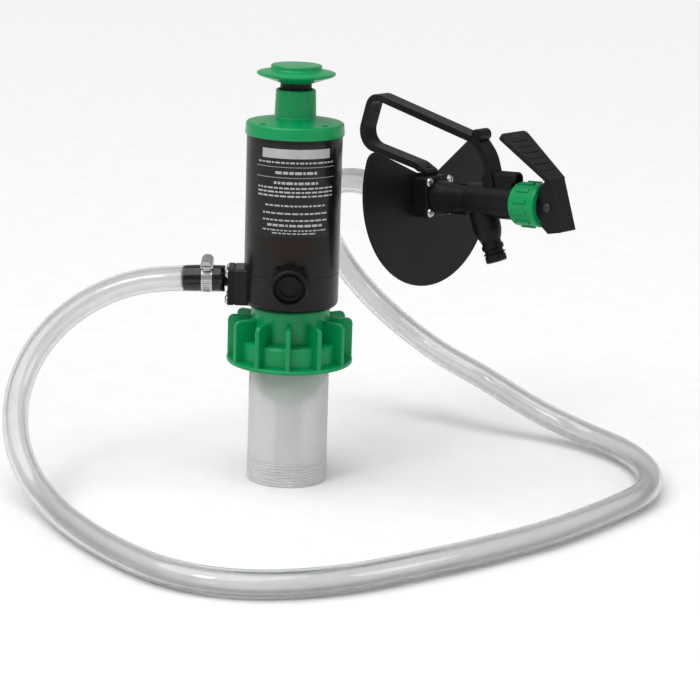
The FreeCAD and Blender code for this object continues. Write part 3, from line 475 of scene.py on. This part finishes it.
def make_adapter_tube():
    """The adapter tube with a true helical thread on its lower end."""
    bottom, top = TUBE_SPAN
    levels = []
    height = bottom
    while height < THREAD_SPAN[1]:
        levels.append(height)
        height += THREAD_PITCH / 8
    levels += [THREAD_SPAN[1], 60 * MM, top - RIM_BEVEL]
    outer = [level_ring(level, thread_radius) for level in levels]
    outer.append(level_ring(top, lambda *_: TUBE_RADIUS - RIM_BEVEL))
    inner = [level_ring(level, lambda *_: TUBE_BORE) for level in (top, bottom)]
    mesh = from_rings("adapter_thread", outer + inner + [outer[0]])
    piece = place("adapter_thread", mesh, "adapter", MATERIALS["frosted_plastic"])
    weld(mesh)
    mark_sharp(mesh, 50.0)
    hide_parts("adapter_tube")


make_adapter_tube()


# ---------------------------------------------------------------- label print
LABEL_RADIUS = 35.50 * MM
LABEL_TURN = math.radians(4.4)
DASH_GAP = 0.9              # in mm, as are all sizes handed to label_patch and dashes


def label_patch(work, centre, width, low, high):
    """A thin curved bar on the label; centre and width run round the body, in mm."""
    start = (centre - width / 2) * MM / LABEL_RADIUS + LABEL_TURN
    end = (centre + width / 2) * MM / LABEL_RADIUS + LABEL_TURN
    steps = max(1, round(width / 2))
    lower = []
    upper = []
    for step in range(steps + 1):
        angle = start + (end - start) * step / steps
        x = LABEL_RADIUS * math.sin(angle)
        y = -LABEL_RADIUS * math.cos(angle)
        lower.append(work.verts.new((x, y, low * MM)))
        upper.append(work.verts.new((x, y, high * MM)))
    for step in range(steps):
        work.faces.new((lower[step], lower[step + 1], upper[step + 1], upper[step]))


def dashes(work, row_width, low, high, chance):
    """A row of short bars of uneven length."""
    cursor = -row_width / 2
    while cursor < row_width / 2 - 1.5:
        width = min(chance.uniform(1.6, 5.2), row_width / 2 - cursor)
        label_patch(work, cursor + width / 2, width, low, high)
        cursor += width + DASH_GAP


def make_label_print():
    """Generic print: a broad bar, two rules and rows of short bars, from the top down."""
    chance = random.Random(7)
    work = bmesh.new()
    label_patch(work, 0, 53, 248.6, 255.4)
    dashes(work, 60, 245.0, 246.2, chance)
    for z in (242.2, 234.6):
        label_patch(work, 0, 63, z, z + 0.35)
    dashes(work, 31, 237.3, 239.3, chance)
    dashes(work, 33, 230.0, 231.8, chance)
    for z in (226.6, 223.7, 220.8):
        dashes(work, 60, z, z + 1.2, chance)
    for z, wide in ((213.8, 46), (208.2, 50), (203.2, 50)):
        dashes(work, wide, z, z + 1.2, chance)
    dashes(work, 42, 199.2, 200.9, chance)
    dashes(work, 50, 196.0, 196.9, chance)
    dashes(work, 34, 193.8, 194.7, chance)
    mesh = bpy.data.meshes.new("label_print")
    work.to_mesh(mesh)
    work.free()
    ink = moulded("pale_ink", (0.30, 0.30, 0.30), (0.44, 0.44, 0.43), 0.3, 900.0, 0.05)
    piece = place("label_print", mesh, "head", ink)


make_label_print()


# ---------------------------------------------------------------- stage and light
def make_stage():
    """A wide pale floor in the plane of the drum's lid."""
    made = moulded("floor_paint", (0.80, 0.80, 0.80), (0.83, 0.83, 0.83), 0.5, 700.0, 0.02)
    size = 6.0
    mesh = bpy.data.meshes.new("floor")
    mesh.from_pydata([(-size, -size, 0), (size, -size, 0), (size, size, 0), (-size, size, 0)],
                     [], [(0, 1, 2, 3)])
    mesh.materials.append(made)
    floor = bpy.data.objects.new("floor", mesh)
    scene.collection.objects.link(floor)


def aim_at(lamp, where, target):
    """Put a lamp in the scene so that it shines at a target."""
    lamp.location = where
    aim = Vector(target) - Vector(where)
    lamp.rotation_mode = "QUATERNION"
    lamp.rotation_quaternion = aim.to_track_quat("-Z", "Y")
    scene.collection.objects.link(lamp)


def area_light(name, where, target, size, power):
    data = bpy.data.lights.new(name, "AREA")
    data.shape = "DISK"
    data.size = size
    data.energy = power
    aim_at(bpy.data.objects.new(name, data), where, target)


def sun_light(name, where, target, spread_degrees, strength):
    """Wide soft daylight: it lights the whole floor evenly."""
    data = bpy.data.lights.new(name, "SUN")
    data.angle = math.radians(spread_degrees)
    data.energy = strength
    aim_at(bpy.data.objects.new(name, data), where, target)


def make_light():
    """White surroundings, broad daylight, and two soft lamps for the highlights."""
    world = bpy.data.worlds.new("studio")
    world.use_nodes = True
    world.node_tree.nodes["Background"].inputs["Color"].default_value = (1.0, 1.0, 1.0, 1.0)
    world.node_tree.nodes["Background"].inputs["Strength"].default_value = 0.47
    scene.world = world
    middle = (0.05, 0.0, 0.15)
    sun_light("overhead", (-0.5, -0.5, 2.0), middle, 70, 2.5)
    area_light("key", (-1.3, -1.6, 1.7), middle, 0.7, 9)
    area_light("fill", (1.8, -1.0, 1.1), middle, 0.9, 6)


make_stage()
make_light()
